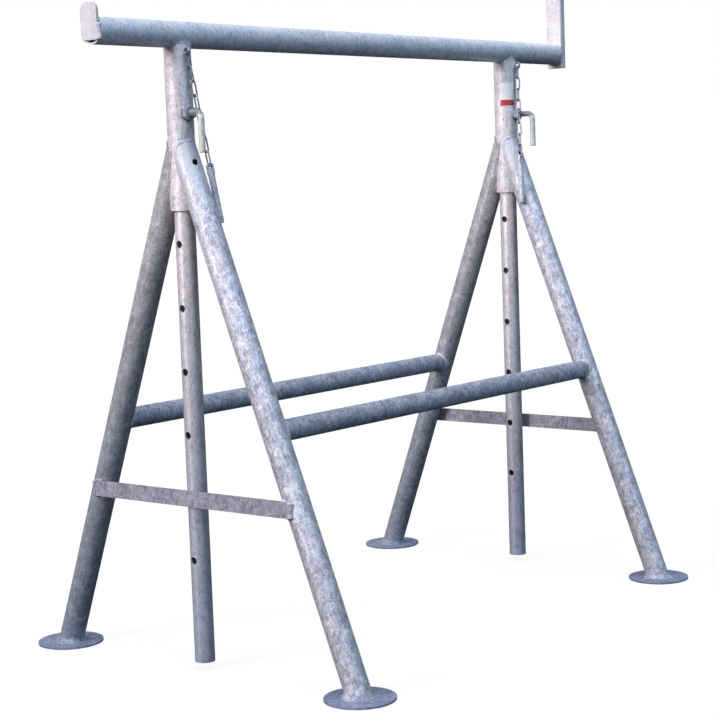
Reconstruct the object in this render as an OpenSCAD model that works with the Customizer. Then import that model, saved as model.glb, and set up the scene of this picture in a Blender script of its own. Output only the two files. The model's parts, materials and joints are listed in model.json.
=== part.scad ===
// Adjustable builders trestle: a welded base of two A-frames, and a head that slides up out of it.
// Millimetres, +Z up, +X along the top bar, origin on the ground under the middle of the whole length.
// The head is drawn at its lowest setting, where the top bar rests in the saddles of the sleeves.

/* [Height and stance] */
// Height of the top bar's axis at the lowest setting
bar_z = 1180; // [1050:1:1400]
// Distance between the axes of the two posts
post_spacing = 1066; // [800:1:1600]
// Distance between the centres of a front and a back foot
base_spread = 745; // [600:1:900]
// Left post axis to the outer face of the stop plate
left_overhang = 215; // [120:1:320]
// Right post axis to the outer face of the guard post
right_overhang = 233; // [120:1:320]

/* [Top bar] */
// Outside diameter of the top bar
bar_d = 48.3; // [44:0.1:54]
// Wall of the top bar
bar_wall = 3.2; // [2:0.1:5]

/* [Stop plate] */
// Width of the stop plate, across the bar
plate_w = 40; // [34:1:48]
// Thickness of the stop plate
plate_t = 5; // [4:0.5:10]
// Top of the stop plate above the bar's axis
plate_rise = 48; // [45:1:100]
// Bottom of the stop plate below the bar's axis
plate_drop = 17; // [8:1:22]
// Radius of the stop plate's top corners
plate_corner_r = 14; // [4:0.5:16]

/* [Guard post] */
// Width of the guard post, across the bar
guard_w = 40; // [34:1:48]
// Depth of the guard post, along the bar
guard_depth = 20; // [16:1:30]
// Wall of the guard post
guard_wall = 2.5; // [2:0.1:3.5]
// Radius of the guard post's outer corners
guard_corner_r = 4; // [3.6:0.1:6]
// Top of the guard post above the bar's axis
guard_rise = 344; // [150:1:1000]
// Bottom of the guard post below the bar's axis
guard_drop = 32; // [20:1:60]

/* [Posts] */
// Outside diameter of a post
post_d = 38; // [34:0.1:42]
// Wall of a post
post_wall = 3; // [2:0.1:5]
// Height of a post's lower end above the ground at the lowest setting
post_ground_gap = 15; // [8:1:60]
// Diameter of the pin holes
hole_d = 14; // [13:0.1:18]
// Distance between pin holes
hole_pitch = 118; // [60:1:160]
// Lowest pin hole above the post's lower end
hole_start = 195; // [60:1:300]
// Clear length of post above the highest pin hole
hole_top_clear = 100; // [60:1:200]

/* [Sleeves] */
// Radial play of a post in its sleeve
post_play = 2; // [1:0.1:3]
// Wall of a sleeve
sleeve_wall = 4; // [2.5:0.1:5]
// Gap between the top bar and the saddle it rests in
saddle_gap = 0.3; // [0.2:0.05:1]
// Tips of the saddle below the bar's axis
saddle_tip_drop = 18; // [10:1:20]
// Sleeve's lower end above the lowest point of the legs' joint
sleeve_toe = 10; // [0:1:25]

/* [Legs and feet] */
// Outside diameter of a leg
leg_d = 48.3; // [42:0.1:54]
// Wall of a leg
leg_wall = 3.2; // [2:0.1:5]
// Top of the legs' joint with the sleeve below the bar's axis
leg_joint_drop = 192; // [160:1:240]
// Diameter of the vent hole near a leg's top
vent_d = 12; // [6:0.5:14]
// Vent hole to the leg's upper end, along the leg
vent_back = 48; // [40:1:80]
// Turn of the vent holes round their legs, towards the stop plate
vent_turn = 15; // [-30:1:30]
// Diameter of a foot disc
foot_d = 130; // [100:1:180]
// Thickness of a foot disc
foot_t = 4; // [3:0.5:10]

/* [Rails and braces] */
// Outside diameter of a rail
rail_d = 40; // [30:0.1:46]
// Wall of a rail
rail_wall = 2.5; // [2:0.1:4]
// Height of the rails' axes
rail_z = 462; // [400:1:600]
// Width of a flat brace
brace_w = 30; // [20:1:50]
// Thickness of a flat brace
brace_t = 5; // [3:0.5:8]
// Height of the braces' middle
brace_z = 329; // [150:1:380]
// Length of a brace past the leg's axis
brace_lap = 2; // [0:1:22]

/* [Clamp screws] */
// Diameter of a clamp screw
screw_d = 12; // [8:0.5:14]
// Angle of the clamp screws towards the trestle's ends
clamp_angle = 11; // [0:1:20]
// Height of a clamp screw above the top of the legs' joint
clamp_rise = 50; // [35:1:60]
// Handle's axis from the sleeve's axis
handle_reach = 65; // [60:1:90]
// Handle's lower end below the screw's axis
handle_len = 73; // [50:1:90]
// Radius of the screw's bend, at the middle of the rod
bend_r = 12; // [12:1:18]
// Width of the clamp nut across its flats
nut_flats = 24; // [20:0.5:28]
// Clamp nut's outer face from the sleeve's wall
nut_t = 10; // [8:0.5:10.5]

/* [Chains and pins] */
// Wire of a chain link
link_wire = 3; // [2:0.1:3.4]
// Inside length of a chain link
link_inside_len = 26; // [22:0.5:34]
// Inside width of a chain link
link_inside_w = 6; // [5.6:0.1:8]
// Number of links in a chain
link_count = 8; // [5:1:9]
// Lean of the hanging chain away from the sleeve
chain_lean_out = 4; // [4:0.5:6]
// Diameter of a locking pin
pin_d = 12; // [9:0.5:12.5]
// Length of a locking pin from the top of its tab to its tip
pin_len = 112; // [80:1:130]
// Thickness of the pin's flattened tab
tab_t = 4.4; // [3:0.1:4.6]
// Width of the pin's flattened tab
tab_w = 15; // [13:0.5:18]
// Hole in the pin's tab
tab_hole_d = 7; // [6.6:0.1:8]

/* [Hidden] */
$fn = 48;
// Cuts run past the solid that they cut by this much
overrun = 1;
// Clearances
screw_tip_gap = 0.4;
screw_pass_gap = 0.5;
thread_gap = 0.08;
link_gap = 0.3;
tab_link_gap = 1;
pin_rest_gap = 0.5;
chain_nut_gap = 0.5;
// Chamfer at the end of a clamp screw's handle
screw_chamfer = 1;
// Flat round face of a clamp nut as a share of its width, and the slope of its chamfer
nut_face_share = 0.95;
nut_chamfer_angle = 30;
// Chain eye: wire, middle radius, and the ring's centre from the sleeve's wall and below the bar's axis
eye_wire_gap = 0.5;
eye_r = 6;
eye_stand = 5.5;
eye_drop = 32;
// Length of the pin's tab below its hole, and of the chamfer at its tip
tab_below = 14;
pin_chamfer = 2;
// Widest lean that is tried for a chain, and the number of halvings of the search
chain_lean_max = 40;
lean_steps = 24;

// Overall length, and the posts' places along it
total_len = left_overhang + post_spacing + right_overhang;
x_left = left_overhang - total_len / 2;
x_right = x_left + post_spacing;
bar_start_x = plate_t - total_len / 2;
bar_end_x = total_len / 2 - guard_depth;

// Sleeves
sleeve_bore_d = post_d + 2 * post_play;
sleeve_d = sleeve_bore_d + 2 * sleeve_wall;
sleeve_top_z = bar_z - saddle_tip_drop;

// A leg stands on its foot's centre, and its upper edge meets the sleeve's wall at leg_top_z
leg_top_z = bar_z - leg_joint_drop;
foot_y = base_spread / 2;
leg_run = foot_y - sleeve_d / 2;
leg_tilt = atan2(leg_run, leg_top_z) + asin(leg_d / 2 / norm([leg_run, leg_top_z]));
leg_cross_z = foot_y / tan(leg_tilt);
leg_len = foot_y / sin(leg_tilt);
sleeve_bottom_z = leg_top_z - leg_d / sin(leg_tilt) + sleeve_toe;
function leg_y(z) = foot_y * (1 - z / leg_cross_z);

// Pin holes
hole_first_z = post_ground_gap + hole_start;
hole_room = bar_z - bar_d / 2 - hole_top_clear - hole_first_z;
hole_count = floor(hole_room / hole_pitch) + 1;

// Clamp screws and chain eyes
clamp_z = leg_top_z + clamp_rise;
nut_corner_d = nut_flats / cos(30);
nut_face_d = nut_flats * nut_face_share;
nut_chamfer = (nut_corner_d - nut_face_d) / 2 * tan(nut_chamfer_angle);
eye_wire = link_inside_w - 2 * eye_wire_gap;
eye_z = bar_z - eye_drop;
pivot_out = sleeve_d / 2 + eye_stand;
pivot_z = eye_z - eye_r;

// Chain links: radius of the wire's middle in a bend, length between bend centres, and pitch
link_bend_r = (link_inside_w + link_wire) / 2;
link_straight = link_inside_len - link_inside_w;
link_pitch = link_inside_len - link_gap;
last_link_z = -(link_count - 1) * link_pitch;
pin_pivot_z = last_link_z - link_straight - link_bend_r;
tab_hole_z = pin_pivot_z - tab_hole_d / 2 + link_wire / 2 + tab_link_gap;
tab_top_z = tab_hole_z + tab_w / 2;
pin_tip_z = tab_top_z - pin_len;
// The last link lies across the tab: an even count leaves it in the plane that points out from the sleeve
tab_turn = link_count % 2 == 0 ? 0 : 90;

// The chain leans inwards past the clamp nut, and on until its pin lies against the front leg
nut_pass_x = (nut_flats + link_wire) / 2 + chain_nut_gap;
nut_pass_z = pivot_z - clamp_z - nut_flats / 2 * tan(30);
chain_from = [-pivot_out * sin(clamp_angle), -pivot_out * cos(clamp_angle), pivot_z];
leg_from = [0, -foot_y, 0];
leg_dir = [0, sin(leg_tilt), cos(leg_tilt)];
function chain_dir(lean) = [
    sin(lean) * cos(clamp_angle) - cos(lean) * sin(chain_lean_out) * sin(clamp_angle),
    -sin(lean) * sin(clamp_angle) - cos(lean) * sin(chain_lean_out) * cos(clamp_angle),
    -cos(lean) * cos(chain_lean_out)
];
function line_distance(p, u, q, v) = abs((p - q) * cross(u, v)) / norm(cross(u, v));
function pin_gap(lean) =
    line_distance(chain_from, chain_dir(lean), leg_from, leg_dir) - (leg_d + pin_d) / 2 - pin_rest_gap;
function lean_between(low, high, steps) =
    let (middle = (low + high) / 2)
    steps == 0 ? high
    : pin_gap(middle) < 0 ? lean_between(middle, high, steps - 1)
    : lean_between(low, middle, steps - 1);
chain_lean_in = max(atan2(nut_pass_x, nut_pass_z), lean_between(0, chain_lean_max, lean_steps));

tube_colour = "LightSlateGray";
flat_colour = "LightSteelBlue";
zinc_colour = "Gainsboro";

// Shapes that repeat

// Round tube along +Z from the origin
module tube(d, wall, len) {
    difference() {
        cylinder(d = d, h = len);
        translate([0, 0, -overrun]) cylinder(d = d - 2 * wall, h = len + 2 * overrun);
    }
}

// Rectangle with round corners, centred
module rounded_rectangle(size, r) {
    square([size.x, size.y - 2 * r], center = true);
    square([size.x - 2 * r, size.y], center = true);
    for (sx = [-1, 1], sy = [-1, 1])
        translate([sx * (size.x / 2 - r), sy * (size.y / 2 - r)]) circle(r = r);
}

// The children at the left sleeve's axis, or mirrored at the right one
module at_sleeve(right) {
    if (right) translate([x_right, 0, 0]) mirror([1, 0, 0]) children();
    else translate([x_left, 0, 0]) children();
}

// The children turned so that -Y points out along the clamp screw
module along_clamp(z) {
    rotate([0, 0, -clamp_angle]) translate([0, 0, z]) children();
}

// The children hung on the chain: its pivot is the origin, and it runs down along -Z
module along_chain() {
    along_clamp(pivot_z) translate([0, -pivot_out, 0]) rotate([-chain_lean_out, 0, 0])
        rotate([0, -chain_lean_in, 0]) children();
}

// The space that a sleeve fills, over the whole height of the trestle
module sleeve_space() {
    translate([0, 0, -overrun]) cylinder(d = sleeve_d, h = bar_z + overrun);
}

// Solid cylinder of a front leg, from below the ground to where the legs' axes cross
module leg_rod(d, past) {
    translate([0, -foot_y, 0]) rotate([-leg_tilt, 0, 0])
        translate([0, 0, -leg_d]) cylinder(d = d, h = leg_len + leg_d + past);
}

// Base frame, drawn around the left sleeve's axis

module sleeve() {
    difference() {
        translate([0, 0, sleeve_bottom_z]) tube(sleeve_d, sleeve_wall, sleeve_top_z - sleeve_bottom_z);
        translate([-sleeve_d, 0, bar_z]) rotate([0, 90, 0])
            cylinder(d = bar_d + 2 * saddle_gap, h = 2 * sleeve_d);
        along_clamp(clamp_z) rotate([90, 0, 0]) cylinder(d = screw_d + 2 * screw_pass_gap, h = sleeve_d);
    }
}

module leg(turn) {
    difference() {
        leg_rod(leg_d, 0);
        leg_rod(leg_d - 2 * leg_wall, overrun);
        translate([-leg_d, -base_spread, -2 * leg_d]) cube([2 * leg_d, base_spread, 2 * leg_d + foot_t]);
        sleeve_space();
        translate([0, -foot_y, 0]) rotate([-leg_tilt, 0, 0]) translate([0, 0, leg_len - vent_back])
            rotate([90, 0, -turn]) cylinder(d = vent_d, h = leg_d);
    }
}

module foot() {
    translate([0, -foot_y, 0]) cylinder(d = foot_d, h = foot_t, $fn = 96);
}

module rail() {
    difference() {
        translate([x_left, -leg_y(rail_z), rail_z]) rotate([0, 90, 0]) tube(rail_d, rail_wall, post_spacing);
        for (x = [x_left, x_right]) translate([x, 0, 0]) leg_rod(leg_d, 0);
    }
}

module brace() {
    half_len = leg_y(brace_z) + brace_lap;
    translate([-leg_d / 2 - brace_t, -half_len, brace_z - brace_w / 2]) cube([brace_t, 2 * half_len, brace_w]);
}

module clamp_nut() {
    nut_end = sleeve_d / 2 + nut_t;
    difference() {
        along_clamp(clamp_z) rotate([90, 0, 0]) difference() {
            intersection() {
                rotate([0, 0, 30]) cylinder(d = nut_corner_d, h = nut_end, $fn = 6);
                union() {
                    cylinder(d = nut_corner_d, h = nut_end - nut_chamfer);
                    translate([0, 0, nut_end - nut_chamfer])
                        cylinder(d1 = nut_corner_d, d2 = nut_face_d, h = nut_chamfer);
                }
            }
            cylinder(d = screw_d + 2 * thread_gap, h = nut_end + overrun);
        }
        sleeve_space();
    }
}

module chain_eye() {
    difference() {
        along_clamp(eye_z) translate([0, -pivot_out, 0]) rotate([0, 90, 0])
            rotate_extrude() translate([eye_r, 0]) circle(d = eye_wire);
        sleeve_space();
    }
}

// Head

module top_bar() {
    color(tube_colour) translate([bar_start_x, 0, bar_z]) rotate([0, 90, 0])
        tube(bar_d, bar_wall, bar_end_x - bar_start_x);
}

module post() {
    difference() {
        translate([0, 0, post_ground_gap]) tube(post_d, post_wall, bar_z - post_ground_gap);
        translate([-post_d, 0, bar_z]) rotate([0, 90, 0]) cylinder(d = bar_d, h = 2 * post_d);
        for (i = [0 : hole_count - 1])
            translate([-post_d, 0, hole_first_z + i * hole_pitch]) rotate([0, 90, 0])
                cylinder(d = hole_d, h = 2 * post_d);
    }
}

module stop_plate() {
    color(flat_colour) translate([-total_len / 2, 0, bar_z]) rotate([90, 0, 90]) linear_extrude(plate_t) {
        translate([-plate_w / 2, -plate_drop]) square([plate_w, plate_drop + plate_rise - plate_corner_r]);
        translate([plate_corner_r - plate_w / 2, 0]) square([plate_w - 2 * plate_corner_r, plate_rise]);
        for (s = [-1, 1])
            translate([s * (plate_w / 2 - plate_corner_r), plate_rise - plate_corner_r])
                circle(r = plate_corner_r);
    }
}

module guard_post() {
    bore = [guard_depth - 2 * guard_wall, guard_w - 2 * guard_wall];
    color(flat_colour) translate([total_len / 2 - guard_depth / 2, 0, bar_z - guard_drop])
        linear_extrude(guard_drop + guard_rise) difference() {
            rounded_rectangle([guard_depth, guard_w], guard_corner_r);
            rounded_rectangle(bore, guard_corner_r - guard_wall);
        }
}

// Loose pieces

module clamp_screw() {
    tip_out = post_d / 2 + screw_tip_gap;
    bend_out = handle_reach - bend_r;
    along_clamp(clamp_z) {
        translate([0, -tip_out, 0]) rotate([90, 0, 0]) cylinder(d = screw_d, h = bend_out - tip_out);
        translate([0, -bend_out, -bend_r]) rotate([0, 90, 0]) rotate([0, 0, 180])
            rotate_extrude(angle = 90) translate([bend_r, 0]) circle(d = screw_d);
        translate([0, -handle_reach, screw_chamfer - handle_len])
            cylinder(d = screw_d, h = handle_len - screw_chamfer - bend_r);
        translate([0, -handle_reach, -handle_len])
            cylinder(d1 = screw_d - 2 * screw_chamfer, d2 = screw_d, h = screw_chamfer);
    }
}

module chain_link() {
    for (s = [-1, 1])
        translate([s * link_bend_r, 0, -link_straight]) cylinder(d = link_wire, h = link_straight, $fn = 24);
    link_bend();
    translate([0, 0, -link_straight]) mirror([0, 0, 1]) link_bend();
}

module link_bend() {
    rotate([90, 0, 0]) rotate_extrude(angle = 180) translate([link_bend_r, 0]) circle(d = link_wire, $fn = 24);
}

module chain() {
    along_chain() for (i = [0 : link_count - 1])
        translate([0, 0, -i * link_pitch]) rotate([0, 0, 90 * (i % 2)]) chain_link();
}

module locking_pin() {
    rod_top_z = tab_hole_z - tab_below / 2;
    along_chain() rotate([0, 0, tab_turn]) difference() {
        union() {
            translate([0, tab_t / 2, tab_hole_z]) rotate([90, 0, 0]) linear_extrude(tab_t) {
                circle(d = tab_w);
                translate([-tab_w / 2, -tab_below]) square([tab_w, tab_below]);
            }
            translate([0, 0, pin_tip_z + pin_chamfer])
                cylinder(d = pin_d, h = rod_top_z - pin_tip_z - pin_chamfer);
            translate([0, 0, pin_tip_z]) cylinder(d1 = pin_d - 2 * pin_chamfer, d2 = pin_d, h = pin_chamfer);
        }
        translate([0, tab_t, tab_hole_z]) rotate([90, 0, 0]) cylinder(d = tab_hole_d, h = 2 * tab_t);
    }
}

// Named sub-parts

module sleeve_left() { color(tube_colour) at_sleeve(false) sleeve(); }
module sleeve_right() { color(tube_colour) at_sleeve(true) sleeve(); }
module leg_front_left() { color(tube_colour) at_sleeve(false) leg(vent_turn); }
module leg_back_left() { color(tube_colour) at_sleeve(false) mirror([0, 1, 0]) leg(vent_turn); }
module leg_front_right() { color(tube_colour) at_sleeve(true) leg(-vent_turn); }
module leg_back_right() { color(tube_colour) at_sleeve(true) mirror([0, 1, 0]) leg(-vent_turn); }
module foot_front_left() { color(flat_colour) at_sleeve(false) foot(); }
module foot_back_left() { color(flat_colour) at_sleeve(false) mirror([0, 1, 0]) foot(); }
module foot_front_right() { color(flat_colour) at_sleeve(true) foot(); }
module foot_back_right() { color(flat_colour) at_sleeve(true) mirror([0, 1, 0]) foot(); }
module rail_front() { color(tube_colour) rail(); }
module rail_back() { color(tube_colour) mirror([0, 1, 0]) rail(); }
module brace_left() { color(flat_colour) at_sleeve(false) brace(); }
module brace_right() { color(flat_colour) at_sleeve(true) brace(); }
module clamp_nut_left() { color(flat_colour) at_sleeve(false) clamp_nut(); }
module clamp_nut_right() { color(flat_colour) at_sleeve(true) clamp_nut(); }
module chain_eye_left() { color(flat_colour) at_sleeve(false) chain_eye(); }
module chain_eye_right() { color(flat_colour) at_sleeve(true) chain_eye(); }
module post_left() { color(tube_colour) at_sleeve(false) post(); }
module post_right() { color(tube_colour) at_sleeve(true) post(); }
module clamp_screw_left() { color(zinc_colour) at_sleeve(false) clamp_screw(); }
module clamp_screw_right() { color(zinc_colour) at_sleeve(true) clamp_screw(); }
module chain_left() { color(zinc_colour) at_sleeve(false) chain(); }
module chain_right() { color(zinc_colour) at_sleeve(true) chain(); }
module locking_pin_left() { color(zinc_colour) at_sleeve(false) locking_pin(); }
module locking_pin_right() { color(zinc_colour) at_sleeve(true) locking_pin(); }

sleeve_left();
sleeve_right();
leg_front_left();
leg_back_left();
leg_front_right();
leg_back_right();
foot_front_left();
foot_back_left();
foot_front_right();
foot_back_right();
rail_front();
rail_back();
brace_left();
brace_right();
clamp_nut_left();
clamp_nut_right();
chain_eye_left();
chain_eye_right();
top_bar();
post_left();
post_right();
stop_plate();
guard_post();
clamp_screw_left();
clamp_screw_right();
chain_left();
chain_right();
locking_pin_left();
locking_pin_right();
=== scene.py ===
"""Looks of an adjustable builders trestle in hot-dip galvanised steel, built around its solids.

Metres, +Z up, +X along the top bar. The camera stands front left, where the photograph was taken.
"""

import json
import math

import bmesh
import bpy
from mathutils import Matrix, Vector, noise

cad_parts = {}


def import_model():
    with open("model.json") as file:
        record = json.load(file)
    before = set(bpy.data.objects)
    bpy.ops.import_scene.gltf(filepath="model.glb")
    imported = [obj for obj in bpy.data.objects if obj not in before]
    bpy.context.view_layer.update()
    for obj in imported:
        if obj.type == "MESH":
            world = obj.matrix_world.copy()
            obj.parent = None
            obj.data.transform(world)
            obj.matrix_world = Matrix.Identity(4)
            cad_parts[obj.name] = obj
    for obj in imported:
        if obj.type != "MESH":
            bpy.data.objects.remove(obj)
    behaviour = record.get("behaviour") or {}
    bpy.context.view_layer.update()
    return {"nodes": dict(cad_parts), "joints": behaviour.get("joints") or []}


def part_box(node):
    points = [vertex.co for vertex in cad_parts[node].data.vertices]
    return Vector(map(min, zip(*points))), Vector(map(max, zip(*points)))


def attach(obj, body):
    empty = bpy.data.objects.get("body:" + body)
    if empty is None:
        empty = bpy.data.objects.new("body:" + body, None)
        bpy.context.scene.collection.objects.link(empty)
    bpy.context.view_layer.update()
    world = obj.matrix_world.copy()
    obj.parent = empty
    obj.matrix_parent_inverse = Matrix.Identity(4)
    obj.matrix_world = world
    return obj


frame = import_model()

MM = 0.001
X_AXIS = Vector((1, 0, 0))
Z_AXIS = Vector((0, 0, 1))

# Camera, fitted to the edges of the tubes in the photograph
CAMERA_PLACE = Vector((-2.903, -2.290, 0.921))
CAMERA_YAW = math.radians(38.76)
CAMERA_PITCH = math.radians(-5.97)
CAMERA_ROLL = math.radians(-2.09)
CAMERA_LENS = 89.48
SENSOR_WIDTH = 36
CAMERA_REACH = 100

# Lamps, fitted to the shading of the tubes: name, azimuth, height and breadth in degrees,
# strength, tint
LIGHTS = (("sky", 205, 76, 85, 3.0, (0.93, 0.98, 1.0)),
          ("left", 162, 20, 22, 2.45, (1.0, 0.93, 0.94)),
          ("front", 266, 30, 40, 1.1, (0.46, 0.72, 1.0)))
LAMP_DISTANCE = 4

# World: a weak fill, and a bright half and a dark half for the rays that metal mirrors
FILL_TINT = (0.55, 0.76, 1.0)
FILL_STRENGTH = 0.02
MIRRORED_TINT = (1.0, 0.93, 0.95)
MIRRORED_BRIGHT = 1.0
MIRRORED_DARK = 0.05
MIRRORED_AZIMUTH = math.radians(170)
MIRRORED_EDGE = 0.06

# Floor: half its side, what the camera sees of it, and what it throws back at the part
FLOOR_HALF = 40
FLOOR_GLOW = 0.87
FLOOR_SEEN = 0.12
FLOOR_BOUNCE = 0.03

# Weld beads: half their width, and their height
LEG_WELD = {"front": (3.6 * MM, 0.8 * MM), "back": (4.6 * MM, 2.2 * MM)}
RAIL_WELD = (5.0 * MM, 2.2 * MM)
BRACE_WELD = (4.2 * MM, 2.8 * MM)
BRACE_END_WELD = (5.0 * MM, 3.2 * MM)
END_WELD = (3.2 * MM, 3.0 * MM)
PLATE_SIDE_WELD = (4.0 * MM, 4.0 * MM)
POST_WELD = (1.4 * MM, 1.4 * MM)
NUT_WELD = (2.2 * MM, 2.2 * MM)
EYE_WELD = (1.8 * MM, 1.8 * MM)
BEAD_SIDES = 12
BEAD_STEP = 1.4 * MM
BEAD_END_SHARE = 0.35
RIPPLE_LENGTH = 5.0 * MM
RIPPLE_SHARE = 0.06
LUMP_LENGTH = 11 * MM
LUMP_SHARE = 0.40
CURVE_POINTS = 96
SEAM_STEPS = 8
FEWEST_STEPS = 4
SHORTEST = 1e-9

# The beads' sideways shifts come from noise_vector, which starts from the clock unless it is seeded
NOISE_SEED = 7
noise.seed_set(NOISE_SEED)

# Weld skirt round a leg's lower end: places up the leg and out over the foot, as shares of its size
SKIRT_SIZE = 9 * MM
SKIRT_SHARES = ((1.25, -0.05), (0.90, 0.08), (0.60, 0.24), (0.33, 0.48), (0.13, 0.75), (-0.06, 1.0))

# Small pieces: the thread's flank and sink are shares of its pitch and height
NUT_SIDES = 6
NUT_T = 10.2 * MM
EYE_WELD_POINTS = 32
EYE_WELD_SHARES = (0.3, 0.75)
THREAD_SHOWN = 12 * MM
THREAD_PITCH = 1.75 * MM
THREAD_RISE = 0.5 * MM
THREAD_STEPS = 24
THREAD_FADE_STEPS = 12
THREAD_FLANK = 0.45
THREAD_SINK = 0.1
LABEL_FROM, LABEL_TO = math.radians(186), math.radians(262)
LABEL_LOW, LABEL_HIGH = 1.058, 1.110
LABEL_BAND_SHARE = 0.25
LABEL_T = 0.25 * MM
LABEL_COLUMNS, LABEL_ROWS = 24, 16

SIDES = ("left", "right")
ENDS = {"front": -1, "back": 1}


def middle_of(node):
    low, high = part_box(node)
    return (low + high) / 2


def span_of(node):
    low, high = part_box(node)
    return high - low


def joint_named(name):
    return next(joint for joint in frame["joints"] if joint["name"] == name)


# Sizes and places that the solids give
SLEEVE_X = {side: middle_of("sleeve_" + side).x for side in SIDES}
SLEEVE_R = span_of("sleeve_left").x / 2
SLEEVE_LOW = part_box("sleeve_left")[0].z
LEG_R = span_of("leg_front_left").x / 2
LEG_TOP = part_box("leg_front_left")[1].z
FOOT_Y = middle_of("foot_back_left").y
FOOT_T = span_of("foot_back_left").z
LEG_RUN = FOOT_Y - SLEEVE_R
LEG_TILT = math.atan2(LEG_RUN, LEG_TOP) + math.asin(LEG_R / math.hypot(LEG_RUN, LEG_TOP))
RAIL_R = span_of("rail_front").z / 2
RAIL_Z = middle_of("rail_front").z
RAIL_Y = middle_of("rail_back").y
BRACE_T = span_of("brace_left").x
BAR_R = span_of("top_bar").z / 2
BAR_Z = middle_of("top_bar").z
POST_R = span_of("post_left").x / 2
HANDLE_TIP_Z, ARM_HIGH_Z = (corner.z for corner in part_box("clamp_screw_left"))
SCREW_R = ARM_HIGH_Z - joint_named("clamp_left_turn")["pos_m"][2]
ARM_LOW_Z = ARM_HIGH_Z - 2 * SCREW_R


# Node graphs

class Graph:
    """A material's or the world's node tree, with each node made by one call."""

    def __init__(self, owner):
        owner.use_nodes = True
        self.tree = owner.node_tree
        self.tree.nodes.clear()

    def add(self, kind, inputs=None, **settings):
        made = self.tree.nodes.new("ShaderNode" + kind)
        for name, value in settings.items():
            setattr(made, name, value)
        for socket, value in (inputs or {}).items():
            self.feed(made.inputs[socket], value)
        return made

    def feed(self, socket, value):
        if isinstance(value, bpy.types.NodeSocket):
            self.tree.links.new(value, socket)
        else:
            socket.default_value = value

    def math(self, operation, a, b=0.0):
        return self.add("Math", {0: a, 1: b}, operation=operation).outputs[0]

    def weighted(self, *terms):
        """The sum of (value, weight) pairs."""
        total = self.math("MULTIPLY", *terms[0])
        for value, weight in terms[1:]:
            inputs = {0: value, 1: weight, 2: total}
            total = self.add("Math", inputs, operation="MULTIPLY_ADD").outputs[0]
        return total

    def ramp(self, value, *stops):
        """Colours or greys at places from 0 to 1."""
        made = self.add("ValToRGB", {0: value})
        elements = made.color_ramp.elements
        while len(elements) < len(stops):
            elements.new(1.0)
        for element, (place, tone) in zip(elements, stops):
            element.position = place
            element.color = (*tone, 1) if isinstance(tone, tuple) else (tone, tone, tone, 1)
        return made.outputs[0]

    def noise(self, vector, scale, detail=4.0, roughness=0.55, distortion=0.0):
        inputs = {"Vector": vector, "Scale": scale, "Detail": detail, "Roughness": roughness,
                  "Distortion": distortion}
        return self.add("TexNoise", inputs).outputs[0]

    def mix(self, share, a, b, blend="MIX"):
        """Two colours mixed: a Mix node keeps their sockets at 6 and 7, and what they give at 2."""
        made = self.add("Mix", data_type="RGBA", blend_type=blend)
        self.feed(made.inputs[0], share)
        self.feed(made.inputs[6], a)
        self.feed(made.inputs[7], b)
        return made.outputs[2]

    def bump(self, relief, strength, distance):
        inputs = {"Strength": strength, "Distance": distance, "Height": relief}
        return self.add("Bump", inputs).outputs[0]

    def surface(self, inputs):
        shader = self.add("BsdfPrincipled", inputs)
        self.add("OutputMaterial", {0: shader.outputs[0]})


def colour(red, green, blue):
    return (red, green, blue, 1.0)


# Hot-dip zinc: noise with scales per metre, and where each ramp stops
ASIDE_SHIFT = (3.1, 1.7, 0.6)
RUN_STRETCH = (1, 1, 0.22)
PATCHES = {"scale": 26, "detail": 3, "distortion": 0.8}
MOTTLING = {"scale": 190, "detail": 6, "roughness": 0.7, "distortion": 1.2}
RUNS = {"scale": 260, "detail": 5, "roughness": 0.7, "distortion": 0.8}
CRYSTAL_SCALE = 95
GRAIN = {"scale": 900, "detail": 3}
TONE_WEIGHTS = (0.17, 0.42, 0.35, 0.06)
TONE_STOPS = (0.42, 0.50, 0.58)
HUES = {"scale": 52, "detail": 3}
HUE_STOPS = ((0.40, (0.92, 0.96, 1.0)), (0.60, (1.0, 0.95, 0.96)))
DARK_SPECKS = {"scale": 420, "detail": 3, "roughness": 0.6}
DARK_SPECK_STOPS = ((0.61, 0.0), (0.70, 0.75))
SPECK_DARK = colour(0.13, 0.15, 0.21)
PALE_SPECKS = {"scale": 330, "detail": 4, "roughness": 0.6}
PALE_SPECK_STOPS = ((0.61, 0.0), (0.70, 0.7))
SPECK_PALE = colour(0.92, 0.92, 0.95)
PLAIN_FADE = 70 * MM
PLAIN_SHARE = 0.75
# Painted shade: the zinc darkens towards the ground between these heights, in metres
GROUND_SHADE_HEIGHTS = (0.0, 0.40, 0.90)
GROUND_SHADE = (0.74, 0.74, 0.74)
NO_GROUND_SHADE = (1.0, 1.0, 1.0)
ROUGH_STOPS = ((0.40, 0.60), (0.60, 0.46))
RELIEF_WEIGHTS = (0.6, 0.7, 0.4, 0.08)
ZINC_BUMP, ZINC_RELIEF = 0.55, 1.2 * MM
ZINC_SPECULAR = 0.2

# Plated rod and wire: wear, draw lines, and the lengths over which painted end shade fades out
WEAR = {"scale": 150, "detail": 5, "roughness": 0.65, "distortion": 0.5}
WEAR_STOPS = (0.36, 0.58)
WEAR_ROUGH_STOPS = (0.3, 0.7)
WORN_ROUGHER = 0.18
DRAW_LINES = {"scale": 1400, "detail": 3}
PLATED_WEIGHTS = (1.0, 0.3)
PLATED_BUMP, PLATED_RELIEF = 0.3, 0.3 * MM
PLATED_SPECULAR = 0.4
# Painted shade on the handle's tip and on the arm
END_SHADE = colour(0.24, 0.24, 0.27)
TIP_FADE, ARM_FADE = 2 * MM, 3 * MM

# Sticker film
SCUFFS = {"scale": 420, "detail": 6, "roughness": 0.7}
SCUFF_STOPS = ((0.56, 0.0), (0.68, 0.7))
VINYL_ROUGH_STOPS = ((0.0, 0.32), (1.0, 0.6))
VINYL_BUMP, VINYL_RELIEF = 0.2, 0.2 * MM


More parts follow.
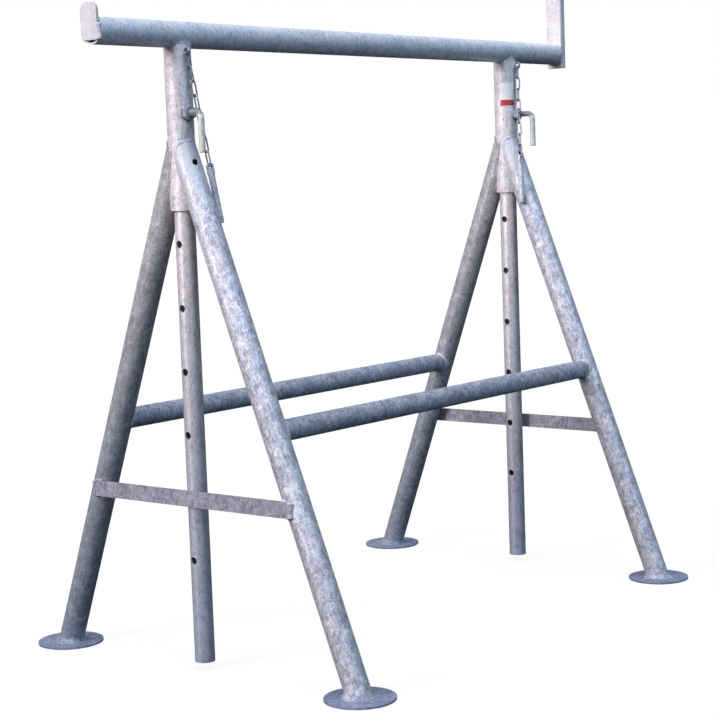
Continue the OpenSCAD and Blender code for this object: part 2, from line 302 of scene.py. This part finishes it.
def galvanised(name, turn, dark, mid, pale, lump=1.0, ground_shade=GROUND_SHADE, metallic=0.2,
               shine=0.0, plain_over=None):
    """Hot-dip zinc: patches, mottling, short runs along the piece, specks, and painted shade low
    down.

    turn rotates the runs onto the texture's Z, ground_shade paints shade on the piece towards the
    ground, shine is taken off the roughness, and over the height plain_over the mottling fades."""
    material = bpy.data.materials.new(name)
    graph = Graph(material)
    place = graph.add("TexCoord").outputs["Object"]
    along = graph.add("Mapping", {0: place, 2: turn}).outputs[0]
    aside = graph.add("Mapping", {0: along, 1: ASIDE_SHIFT}).outputs[0]
    drawn_out = graph.add("Mapping", {0: along, 3: RUN_STRETCH}).outputs[0]

    patch = graph.noise(along, **PATCHES)
    mottle = graph.noise(along, **MOTTLING)
    run = graph.noise(drawn_out, **RUNS)
    crystal = graph.add("TexVoronoi", {"Vector": along, "Scale": CRYSTAL_SCALE}).outputs["Color"]
    crystal = graph.add("SeparateColor", {0: crystal}).outputs[0]
    grain = graph.noise(place, **GRAIN)

    tone = graph.weighted(*zip((patch, mottle, run, crystal), TONE_WEIGHTS))
    base = graph.ramp(tone, *zip(TONE_STOPS, (dark, mid, pale)))
    hue = graph.ramp(graph.noise(aside, **HUES), *HUE_STOPS)
    base = graph.mix(1.0, base, hue, "MULTIPLY")
    dark_speck = graph.ramp(graph.noise(drawn_out, **DARK_SPECKS), *DARK_SPECK_STOPS)
    base = graph.mix(dark_speck, base, SPECK_DARK)
    pale_speck = graph.ramp(graph.noise(aside, **PALE_SPECKS), *PALE_SPECK_STOPS)
    base = graph.mix(pale_speck, base, SPECK_PALE)
    height = graph.add("SeparateXYZ", {0: place}).outputs[2]
    if plain_over is not None:
        limits = {0: height, 1: plain_over, 2: plain_over + PLAIN_FADE, 4: PLAIN_SHARE}
        plain = graph.add("MapRange", limits).outputs[0]
        base = graph.mix(plain, base, colour(*mid))
    # Painted shade, darker towards the ground
    third_way = tuple((1 + 2 * shade) / 3 for shade in ground_shade)
    painted_ground_shade = graph.ramp(height, *zip(GROUND_SHADE_HEIGHTS, (ground_shade, third_way, NO_GROUND_SHADE)))
    base = graph.mix(1.0, base, painted_ground_shade, "MULTIPLY")

    rough = graph.ramp(tone, *((stop, level - shine) for stop, level in ROUGH_STOPS))
    relief = graph.weighted(*zip((patch, mottle, run, grain), RELIEF_WEIGHTS))
    bump = graph.bump(relief, ZINC_BUMP, ZINC_RELIEF * lump)
    graph.surface({"Base Color": base, "Roughness": rough, "Metallic": metallic,
                   "Specular IOR Level": ZINC_SPECULAR, "Normal": bump})
    return material


def zinc_plated(name, dark, pale, roughness, metallic, shaded_ends=None):
    """Plated rod or wire: draw lines, worn patches, and painted shade below and above two heights.
    """
    material = bpy.data.materials.new(name)
    graph = Graph(material)
    place = graph.add("TexCoord").outputs["Object"]
    worn = graph.noise(place, **WEAR)
    fine = graph.noise(place, **DRAW_LINES)
    base = graph.ramp(worn, *zip(WEAR_STOPS, (dark, pale)))
    if shaded_ends is not None:
        low, high = shaded_ends
        height = graph.add("SeparateXYZ", {0: place}).outputs[2]
        # Painted shade on the tip and the arm, fading into the plating
        for shaded_at, clear_at in ((low, low + TIP_FADE), (high + ARM_FADE, high)):
            unshaded = graph.add("MapRange", {0: height, 1: shaded_at, 2: clear_at}).outputs[0]
            base = graph.mix(unshaded, END_SHADE, base)
    rough = graph.ramp(worn, *zip(WEAR_ROUGH_STOPS, (roughness + WORN_ROUGHER, roughness)))
    relief = graph.weighted(*zip((worn, fine), PLATED_WEIGHTS))
    bump = graph.bump(relief, PLATED_BUMP, PLATED_RELIEF)
    graph.surface({"Base Color": base, "Roughness": rough, "Metallic": metallic,
                   "Specular IOR Level": PLATED_SPECULAR, "Normal": bump})
    return material


def vinyl(name, tint, scuffed):
    """Printed sticker film with scuffs."""
    material = bpy.data.materials.new(name)
    graph = Graph(material)
    place = graph.add("TexCoord").outputs["Object"]
    scuff = graph.ramp(graph.noise(place, **SCUFFS), *SCUFF_STOPS)
    base = graph.mix(scuff, colour(*tint), colour(*scuffed))
    rough = graph.ramp(scuff, *VINYL_ROUGH_STOPS)
    bump = graph.bump(scuff, VINYL_BUMP, VINYL_RELIEF)
    graph.surface({"Base Color": base, "Roughness": rough, "Normal": bump})
    return material


UPRIGHT = (0, 0, 0)
SLEEVE_ZINC = ((0.50, 0.47, 0.50), (0.78, 0.74, 0.76), (0.90, 0.87, 0.89))
POST_ZINC = ((0.54, 0.51, 0.53), (0.80, 0.76, 0.77), (0.92, 0.89, 0.89))
BAR_ZINC = ((0.46, 0.51, 0.62), (0.77, 0.81, 0.91), (0.93, 0.95, 0.98))
RAIL_ZINC = ((0.22, 0.25, 0.34), (0.42, 0.46, 0.57), (0.74, 0.77, 0.85))
FRONT_LEG_ZINC = ((0.30, 0.31, 0.38), (0.57, 0.58, 0.66), (0.88, 0.88, 0.93))
# The back legs use a darker copy of the front legs' zinc: painted shade on their down-facing sides
BACK_LEG_SHADED_ZINC = ((0.27, 0.28, 0.31), (0.42, 0.42, 0.44), (0.64, 0.63, 0.64))
FLAT_ZINC = ((0.60, 0.58, 0.62), (0.72, 0.70, 0.74), (0.80, 0.79, 0.82))
BRACE_ZINC = ((0.20, 0.20, 0.26), (0.36, 0.36, 0.44), (0.54, 0.54, 0.62))
# The feet's zinc is darkened with painted shade
FOOT_SHADED_ZINC = ((0.13, 0.16, 0.24), (0.20, 0.23, 0.33), (0.28, 0.31, 0.41))
# The back skirts use a darker copy of the front skirts' zinc: painted shade
SKIRT_ZINC = {"front": ((0.15, 0.17, 0.23), (0.28, 0.31, 0.39), (0.50, 0.53, 0.60)),
              "back": ((0.11, 0.13, 0.18), (0.18, 0.20, 0.27), (0.29, 0.32, 0.40))}
NUT_ZINC = ((0.22, 0.23, 0.29), (0.38, 0.39, 0.47), (0.56, 0.57, 0.64))
WELD_ZINC = ((0.40, 0.41, 0.45), (0.62, 0.62, 0.66), (0.82, 0.81, 0.83))

# Bluish painted shade towards the ground on the posts and the back legs
POST_GROUND_SHADE = (0.50, 0.56, 0.68)
BACK_LEG_GROUND_SHADE = (0.58, 0.65, 0.76)
FRONT_LEG_PLAIN_Z = 0.87

SLEEVE = galvanised("galvanised_sleeve", UPRIGHT, *SLEEVE_ZINC, metallic=0.25)
POST = galvanised("galvanised_post", UPRIGHT, *POST_ZINC, ground_shade=POST_GROUND_SHADE,
                  metallic=0.35, shine=0.14)
TUBE_BAR = galvanised("galvanised_bar", UPRIGHT, *BAR_ZINC, metallic=0.4)
TUBE_RAIL = galvanised("galvanised_rail", UPRIGHT, *RAIL_ZINC, metallic=0.4)
TUBE_LEG = {"front": galvanised("galvanised_leg_front", (LEG_TILT, 0, 0), *FRONT_LEG_ZINC,
                                metallic=0.28, plain_over=FRONT_LEG_PLAIN_Z),
            "back": galvanised("galvanised_leg_back", (-LEG_TILT, 0, 0), *BACK_LEG_SHADED_ZINC,
                               ground_shade=BACK_LEG_GROUND_SHADE, metallic=0.3, shine=0.12)}
FLAT = galvanised("galvanised_flat", UPRIGHT, *FLAT_ZINC, lump=0.6, metallic=0.15)
BRACE_FLAT = galvanised("galvanised_brace", UPRIGHT, *BRACE_ZINC)
FOOT_FLAT = galvanised("galvanised_foot", UPRIGHT, *FOOT_SHADED_ZINC, lump=0.6, ground_shade=NO_GROUND_SHADE,
                       metallic=0.05)
SKIRT = {end: galvanised("galvanised_skirt_" + end, UPRIGHT, *SKIRT_ZINC[end], ground_shade=NO_GROUND_SHADE,
                         metallic=0.1)
         for end in ENDS}
NUT = galvanised("galvanised_nut", UPRIGHT, *NUT_ZINC)
WELD = galvanised("galvanised_weld", UPRIGHT, *WELD_ZINC, lump=1.4)
ROD = zinc_plated("zinc_rod", (0.56, 0.56, 0.54), (0.78, 0.78, 0.75),
                  roughness=0.36, metallic=0.1, shaded_ends=(HANDLE_TIP_Z, ARM_LOW_Z))
PIN = zinc_plated("zinc_pin", (0.36, 0.36, 0.42), (0.66, 0.65, 0.70),
                  roughness=0.42, metallic=0.15)
CHAIN = zinc_plated("zinc_chain", (0.12, 0.13, 0.17), (0.40, 0.42, 0.48),
                    roughness=0.36, metallic=0.4)
LABEL_WHITE = vinyl("label_white", (0.95, 0.94, 0.94), (0.74, 0.73, 0.75))
LABEL_RED = vinyl("label_red", (0.55, 0.05, 0.07), (0.66, 0.30, 0.32))

NODE_MATERIALS = {"top_bar": TUBE_BAR, "rail": TUBE_RAIL, "sleeve": SLEEVE, "post": POST,
                  "leg_front": TUBE_LEG["front"], "leg_back": TUBE_LEG["back"], "foot": FOOT_FLAT,
                  "brace": BRACE_FLAT, "stop_plate": FLAT, "guard_post": FLAT, "clamp_nut": NUT,
                  "chain_eye": CHAIN, "clamp_screw": ROD, "locking_pin": PIN, "chain": CHAIN}


def dress(node, piece):
    """Gives a solid the material of the longest name that its own name starts with."""
    key = max((k for k in NODE_MATERIALS if node.startswith(k)), key=len)
    piece.data.materials.clear()
    piece.data.materials.append(NODE_MATERIALS[key])


for node_name, node_piece in frame["nodes"].items():
    dress(node_name, node_piece)


# Pieces

def piece_from(name, bm, material, body):
    """A smooth mesh piece that rides on a body."""
    mesh = bpy.data.meshes.new(name)
    bm.normal_update()
    bm.to_mesh(mesh)
    bm.free()
    for polygon in mesh.polygons:
        polygon.use_smooth = True
    mesh.materials.append(material)
    piece = bpy.data.objects.new(name, mesh)
    bpy.context.scene.collection.objects.link(piece)
    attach(piece, body)
    return piece


def evenly_along(seam, closed, step):
    """A seam's (point, out) pairs again, at even distances."""
    corners = seam + seam[:1] if closed else seam
    lengths = [(b[0] - a[0]).length for a, b in zip(corners, corners[1:])]
    count = max(FEWEST_STEPS, round(sum(lengths) / step))
    pairs = []
    index, start = 0, 0.0
    for i in range(count if closed else count + 1):
        place = sum(lengths) * i / count
        while index < len(lengths) - 1 and place > start + lengths[index]:
            start += lengths[index]
            index += 1
        share = min((place - start) / max(lengths[index], SHORTEST), 1.0)
        a, b = corners[index], corners[index + 1]
        pairs.append((a[0].lerp(b[0], share), a[1].lerp(b[1], share).normalized()))
    return pairs


def weld(name, body, seam, size, closed=False, material=WELD):
    """A rippled, lumpy bead along a seam of (point, out) pairs, sunk half into what it joins."""
    width, height = size
    pairs = evenly_along(seam, closed, BEAD_STEP)
    last = len(pairs) - 1
    bm = bmesh.new()
    rings = []
    for i, (point, out) in enumerate(pairs):
        after = pairs[(i + 1) % len(pairs)][0] if closed else pairs[min(i + 1, last)][0]
        before = pairs[i - 1][0] if closed else pairs[max(i - 1, 0)][0]
        forward = (after - before).normalized()
        up = (out - forward * out.dot(forward)).normalized()
        aside = forward.cross(up)
        ripple = RIPPLE_SHARE * math.sin(math.tau * i * BEAD_STEP / RIPPLE_LENGTH)
        lump = LUMP_SHARE * noise.noise(point / LUMP_LENGTH)
        swell = 1 + ripple + lump
        if not closed and i in (0, last):
            swell *= BEAD_END_SHARE
        shift = noise.noise_vector(point / LUMP_LENGTH) * height * LUMP_SHARE / 2
        ring = []
        for k in range(BEAD_SIDES):
            angle = math.tau * k / BEAD_SIDES
            spoke = width * math.cos(angle) * aside + height * math.sin(angle) * up
            ring.append(bm.verts.new(point + shift + swell * spoke))
        rings.append(ring)
    for a, b in zip(rings, rings[1:] + rings[:1] if closed else rings[1:]):
        for k in range(BEAD_SIDES):
            n = (k + 1) % BEAD_SIDES
            bm.faces.new((a[k], b[k], b[n], a[n]))
    if not closed:
        bm.faces.new(rings[0])
        bm.faces.new(list(reversed(rings[-1])))
    piece_from(name, bm, material, body)


def turns(count=CURVE_POINTS):
    return [math.tau * i / count for i in range(count)]


def leg_axis(side, end):
    """Where a leg's axis meets the ground, its way up, and the way across it from the sleeve."""
    sign = ENDS[end]
    start = Vector((SLEEVE_X[side], sign * FOOT_Y, 0))
    up = Vector((0, -sign * math.sin(LEG_TILT), math.cos(LEG_TILT)))
    across = Vector((0, sign * math.cos(LEG_TILT), math.sin(LEG_TILT)))
    return start, up, across


def leg_ring(side, end, reach):
    """(point, out) pairs round a leg, each point moved up the leg by reach(point, up)."""
    start, up, across = leg_axis(side, end)
    pairs = []
    for angle in turns():
        out = math.cos(angle) * X_AXIS + math.sin(angle) * across
        point = start + LEG_R * out
        pairs.append((point + up * reach(point, up), out))
    return pairs


def leg_top_weld(side, end):
    sign = ENDS[end]

    def to_sleeve(point, up):
        off_axis = point.x - SLEEVE_X[side]
        wall_y = sign * math.sqrt(SLEEVE_R ** 2 - off_axis ** 2)
        return (wall_y - point.y) / up.y

    ring = leg_ring(side, end, to_sleeve)
    low = min(range(len(ring)), key=lambda i: ring[i][0].z)
    ring = ring[low:] + ring[:low]
    seam = []
    for point, out in ring:
        if point.z > SLEEVE_LOW:
            wall_out = Vector((point.x - SLEEVE_X[side], point.y, 0)).normalized()
            seam.append((point, (out + wall_out).normalized()))
    weld(f"weld_leg_top_{end}_{side}", "base_frame", seam, LEG_WELD[end], material=TUBE_LEG[end])


def foot_skirt(side, end):
    """The weld that flares from a leg's lower end over its foot."""
    _, up, _ = leg_axis(side, end)
    bm = bmesh.new()
    columns = []
    for root, out in leg_ring(side, end, lambda point, way: (FOOT_T - point.z) / way.z):
        level = Vector((out.x, out.y, 0)).normalized()
        swell = SKIRT_SIZE * (1 + LUMP_SHARE * noise.noise(root / LUMP_LENGTH))
        columns.append([bm.verts.new(root + swell * (u * up + v * level)) for u, v in SKIRT_SHARES])
    for a, b in zip(columns, columns[1:] + columns[:1]):
        for k in range(len(SKIRT_SHARES) - 1):
            bm.faces.new((a[k], a[k + 1], b[k + 1], b[k]))
    piece_from(f"weld_foot_{end}_{side}", bm, SKIRT[end], "base_frame")


def rail_weld(side, end):
    sign = ENDS[end]
    start, _, across = leg_axis(side, end)
    inward = 1 if side == "left" else -1
    seam = []
    for angle in turns():
        rail_out = Vector((0, math.cos(angle), math.sin(angle)))
        beside = (Vector((0, sign * RAIL_Y - start.y, RAIL_Z)) + RAIL_R * rail_out).dot(across)
        depth = math.sqrt(max(LEG_R ** 2 - beside ** 2, 0))
        point = Vector((start.x + inward * depth, sign * RAIL_Y, RAIL_Z)) + RAIL_R * rail_out
        leg_out = (inward * depth * X_AXIS + beside * across).normalized()
        seam.append((point, (rail_out + leg_out).normalized()))
    weld(f"weld_rail_{end}_{side}", "base_frame", seam, RAIL_WELD, closed=True)


def straight_seam(start, stop, out):
    shares = [i / SEAM_STEPS for i in range(SEAM_STEPS + 1)]
    return [(start.lerp(stop, share), out.normalized()) for share in shares]


def brace_welds(side, end):
    """Beads over, under and across the end of a flat brace, where it lies on a leg."""
    sign = ENDS[end]
    material = TUBE_LEG[end] if end == "front" else BRACE_FLAT
    start, up, _ = leg_axis(side, end)
    low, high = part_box("brace_" + side)
    outward = -1 if side == "left" else 1
    seam_x = SLEEVE_X[side] + outward * LEG_R
    tip_y = sign * high.y
    for place, z, rise in (("under", low.z, -1), ("over", high.z, 1)):
        axis_y = start.y + up.y / up.z * z
        from_y = axis_y - sign * LEG_R / 2
        seam = straight_seam(Vector((seam_x, from_y, z)), Vector((seam_x, tip_y, z)),
                             Vector((outward, 0, rise)))
        weld(f"weld_brace_{place}_{end}_{side}", "base_frame", seam, BRACE_WELD, material=material)
    end_x = seam_x + outward * BRACE_T / 2
    seam = straight_seam(Vector((end_x, tip_y, low.z)), Vector((end_x, tip_y, high.z)),
                         Vector((outward, sign, 0)))
    weld(f"weld_brace_tip_{end}_{side}", "base_frame", seam, BRACE_END_WELD, material=material)


def bar_arc(x, from_angle, to_angle, along):
    """A seam round the top bar, in degrees from +Y upwards, against what stands at its end."""
    seam = []
    for i in range(CURVE_POINTS + 1):
        angle = math.radians(from_angle + (to_angle - from_angle) * i / CURVE_POINTS)
        out = Vector((0, math.cos(angle), math.sin(angle)))
        seam.append((Vector((x, 0, BAR_Z)) + BAR_R * out, (out + along * X_AXIS).normalized()))
    return seam


def head_welds():
    low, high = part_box("top_bar")
    plate_angle = math.degrees(math.acos(span_of("stop_plate").y / 2 / BAR_R))
    guard_angle = math.degrees(math.acos(span_of("guard_post").y / 2 / BAR_R))
    weld("weld_stop_plate", "head", bar_arc(low.x, plate_angle, 180 - plate_angle, 1), END_WELD)
    plate_low, plate_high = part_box("stop_plate")
    for place, y, out_y in (("front", plate_low.y, -1), ("back", plate_high.y, 1)):
        seam = straight_seam(Vector((low.x, y, plate_low.z)), Vector((low.x, y, BAR_Z + BAR_R / 2)),
                             Vector((0, out_y, 0)))
        weld("weld_stop_plate_" + place, "head", seam, PLATE_SIDE_WELD, material=FLAT)
    weld("weld_guard_over", "head", bar_arc(high.x, guard_angle, 180 - guard_angle, -1), END_WELD)
    weld("weld_guard_under", "head", bar_arc(high.x, 180 + guard_angle, 360 - guard_angle, -1),
         END_WELD)
    for side in SIDES:
        seam = []
        for angle in turns():
            out = Vector((math.cos(angle), math.sin(angle), 0))
            point = Vector((SLEEVE_X[side], 0, 0)) + POST_R * out
            point.z = BAR_Z - math.sqrt(BAR_R ** 2 - point.y ** 2)
            seam.append((point, (out - Z_AXIS).normalized()))
        weld("weld_post_" + side, "head", seam, POST_WELD, closed=True)


def on_sleeve(side, outward, sideways, z):
    """A point on a sleeve's wall, sideways from the direction that points outward."""
    tangent = Vector((-outward.y, outward.x, 0))
    depth = math.sqrt(SLEEVE_R ** 2 - sideways ** 2)
    return Vector((SLEEVE_X[side], 0, z)) + outward * depth + tangent * sideways


def clamp_details(side):
    joint = joint_named(f"clamp_{side}_turn")
    outward = Vector(joint["axis"]).normalized()
    tangent = Vector((-outward.y, outward.x, 0))
    screw_z = joint["pos_m"][2]
    corner = span_of("clamp_nut_" + side).z / 2
    corners = [(corner * math.sin(a), corner * math.cos(a)) for a in turns(NUT_SIDES)]
    seam = []
    for (u0, w0), (u1, w1) in zip(corners, corners[1:] + corners[:1]):
        for i in range(SEAM_STEPS):
            u, w = u0 + (u1 - u0) * i / SEAM_STEPS, w0 + (w1 - w0) * i / SEAM_STEPS
            out = outward * corner + tangent * u + Z_AXIS * w
            seam.append((on_sleeve(side, outward, u, screw_z + w), out))
    weld("weld_nut_" + side, "base_frame", seam, NUT_WELD, closed=True, material=NUT)
    eye_z = middle_of("chain_eye_" + side).z
    eye_half = span_of("chain_eye_" + side).z / 2
    half_width, half_height = (eye_half * share for share in EYE_WELD_SHARES)
    seam = []
    for angle in turns(EYE_WELD_POINTS):
        u, w = half_width * math.sin(angle), half_height * math.cos(angle)
        out = outward * eye_half + tangent * u + Z_AXIS * w
        seam.append((on_sleeve(side, outward, u, eye_z + w), out))
    weld("weld_eye_" + side, "base_frame", seam, EYE_WELD, closed=True)
    screw_thread(side, outward, screw_z)


def screw_thread(side, outward, screw_z):
    """The part of the thread that stands out of the nut."""
    axis = Vector((SLEEVE_X[side], 0, screw_z))
    nut_face = SLEEVE_R + NUT_T
    thread_end = nut_face + THREAD_SHOWN
    tangent = Vector((-outward.y, outward.x, 0))
    steps = round((thread_end - nut_face) / THREAD_PITCH * THREAD_STEPS)
    bm = bmesh.new()
    rows = []
    for i in range(steps + 1):
        angle = math.tau * i / THREAD_STEPS
        place = nut_face + (thread_end - nut_face) * i / steps
        spoke = math.cos(angle) * tangent + math.sin(angle) * Z_AXIS
        fade = min(1.0, i / THREAD_FADE_STEPS, (steps - i) / THREAD_FADE_STEPS)
        profile = ((-THREAD_FLANK, -THREAD_SINK), (0.0, fade), (THREAD_FLANK, -THREAD_SINK))
        row = []
        for along, out in profile:
            reach = outward * (place + along * THREAD_PITCH) + spoke * (SCREW_R + out * THREAD_RISE)
            row.append(bm.verts.new(axis + reach))
        rows.append(row)
    for a, b in zip(rows, rows[1:]):
        for k in range(len(a) - 1):
            bm.faces.new((a[k], b[k], b[k + 1], a[k + 1]))
    piece_from("screw_thread_" + side, bm, ROD, "clamp_" + side)


def label():
    """A blank sticker round part of the right sleeve, with a plain band at its foot."""
    radius = SLEEVE_R + LABEL_T
    bm = bmesh.new()
    grid = []
    for r in range(LABEL_ROWS + 1):
        z = LABEL_LOW + (LABEL_HIGH - LABEL_LOW) * r / LABEL_ROWS
        line = []
        for c in range(LABEL_COLUMNS + 1):
            angle = LABEL_FROM + (LABEL_TO - LABEL_FROM) * c / LABEL_COLUMNS
            x = SLEEVE_X["right"] + radius * math.cos(angle)
            line.append(bm.verts.new((x, radius * math.sin(angle), z)))
        grid.append(line)
    for r in range(LABEL_ROWS):
        for c in range(LABEL_COLUMNS):
            face = bm.faces.new((grid[r][c], grid[r][c + 1], grid[r + 1][c + 1], grid[r + 1][c]))
            face.material_index = 1 if r < LABEL_ROWS * LABEL_BAND_SHARE else 0
    piece = piece_from("blank_label", bm, LABEL_WHITE, "base_frame")
    piece.data.materials.append(LABEL_RED)


for side_name in SIDES:
    for end_name in ENDS:
        leg_top_weld(side_name, end_name)
        foot_skirt(side_name, end_name)
        rail_weld(side_name, end_name)
        brace_welds(side_name, end_name)
    clamp_details(side_name)
head_welds()
label()


# Stage: floor, world, lamps and camera

def direction(azimuth, height):
    level = math.cos(height)
    return Vector((level * math.cos(azimuth), level * math.sin(azimuth), math.sin(height)))


def background_share(rays, graph):
    """1 for the rays that see the background straight or through glass."""
    return graph.math("MAXIMUM", rays["Is Camera Ray"], rays["Is Transmission Ray"])


def floor():
    bm = bmesh.new()
    bmesh.ops.create_grid(bm, x_segments=1, y_segments=1, size=FLOOR_HALF)
    mesh = bpy.data.meshes.new("floor")
    bm.to_mesh(mesh)
    bm.free()
    material = bpy.data.materials.new("pale_floor")
    graph = Graph(material)
    bounce = graph.add("BsdfDiffuse", {0: colour(FLOOR_BOUNCE, FLOOR_BOUNCE, FLOOR_BOUNCE)})
    matt = graph.add("BsdfDiffuse", {0: colour(FLOOR_SEEN, FLOOR_SEEN, FLOOR_SEEN)})
    glow = graph.add("Emission", {0: colour(1, 1, 1), 1: FLOOR_GLOW})
    lit = graph.add("AddShader", {0: matt.outputs[0], 1: glow.outputs[0]})
    rays = graph.add("LightPath").outputs
    seen = background_share(rays, graph)
    both = graph.add("MixShader", {0: seen, 1: bounce.outputs[0], 2: lit.outputs[0]})
    graph.add("OutputMaterial", {0: both.outputs[0]})
    mesh.materials.append(material)
    piece = bpy.data.objects.new("floor", mesh)
    bpy.context.scene.collection.objects.link(piece)


def world():
    made = bpy.data.worlds.new("studio")
    bpy.context.scene.world = made
    graph = Graph(made)
    rays = graph.add("LightPath").outputs
    way = graph.add("TexCoord").outputs["Generated"]
    bright_way = direction(MIRRORED_AZIMUTH, 0)
    facing = graph.add("VectorMath", {0: way, 1: bright_way}, operation="DOT_PRODUCT")
    limits = {0: facing.outputs["Value"], 1: -MIRRORED_EDGE, 2: MIRRORED_EDGE,
              3: MIRRORED_DARK, 4: MIRRORED_BRIGHT}
    halves = graph.add("MapRange", limits).outputs[0]
    mirrored = graph.math("MULTIPLY", rays["Is Glossy Ray"], halves)
    tint = graph.mix(mirrored, colour(*FILL_TINT), colour(*MIRRORED_TINT))
    fill = graph.add("Background", {0: tint, 1: graph.math("MAXIMUM", mirrored, FILL_STRENGTH)})
    white = graph.add("Background", {0: colour(1, 1, 1), 1: 1.0})
    seen = background_share(rays, graph)
    both = graph.add("MixShader", {0: seen, 1: fill.outputs[0], 2: white.outputs[0]})
    graph.add("OutputWorld", {0: both.outputs[0]})


def lamps():
    for name, azimuth, height, breadth, strength, tint in LIGHTS:
        data = bpy.data.lights.new(name, "SUN")
        data.energy = strength
        data.color = tint
        data.angle = math.radians(breadth)
        made = bpy.data.objects.new(name, data)
        towards = direction(math.radians(azimuth), math.radians(height))
        made.location = LAMP_DISTANCE * towards
        made.rotation_mode = "QUATERNION"
        made.rotation_quaternion = (-towards).to_track_quat("-Z", "Y")
        bpy.context.scene.collection.objects.link(made)


def camera():
    data = bpy.data.cameras.new("camera")
    data.sensor_width = SENSOR_WIDTH
    data.lens = CAMERA_LENS
    data.clip_end = CAMERA_REACH
    made = bpy.data.objects.new("camera", data)
    ahead = direction(CAMERA_YAW, CAMERA_PITCH)
    flat_right = ahead.cross(Z_AXIS).normalized()
    flat_up = flat_right.cross(ahead)
    right = math.cos(CAMERA_ROLL) * flat_right + math.sin(CAMERA_ROLL) * flat_up
    up = math.cos(CAMERA_ROLL) * flat_up - math.sin(CAMERA_ROLL) * flat_right
    turn = Matrix((right, up, -ahead)).transposed()
    made.matrix_world = Matrix.Translation(CAMERA_PLACE) @ turn.to_4x4()
    bpy.context.scene.collection.objects.link(made)
    bpy.context.scene.camera = made


floor()
world()
lamps()
camera()
bpy.context.scene.view_settings.view_transform = "Standard"
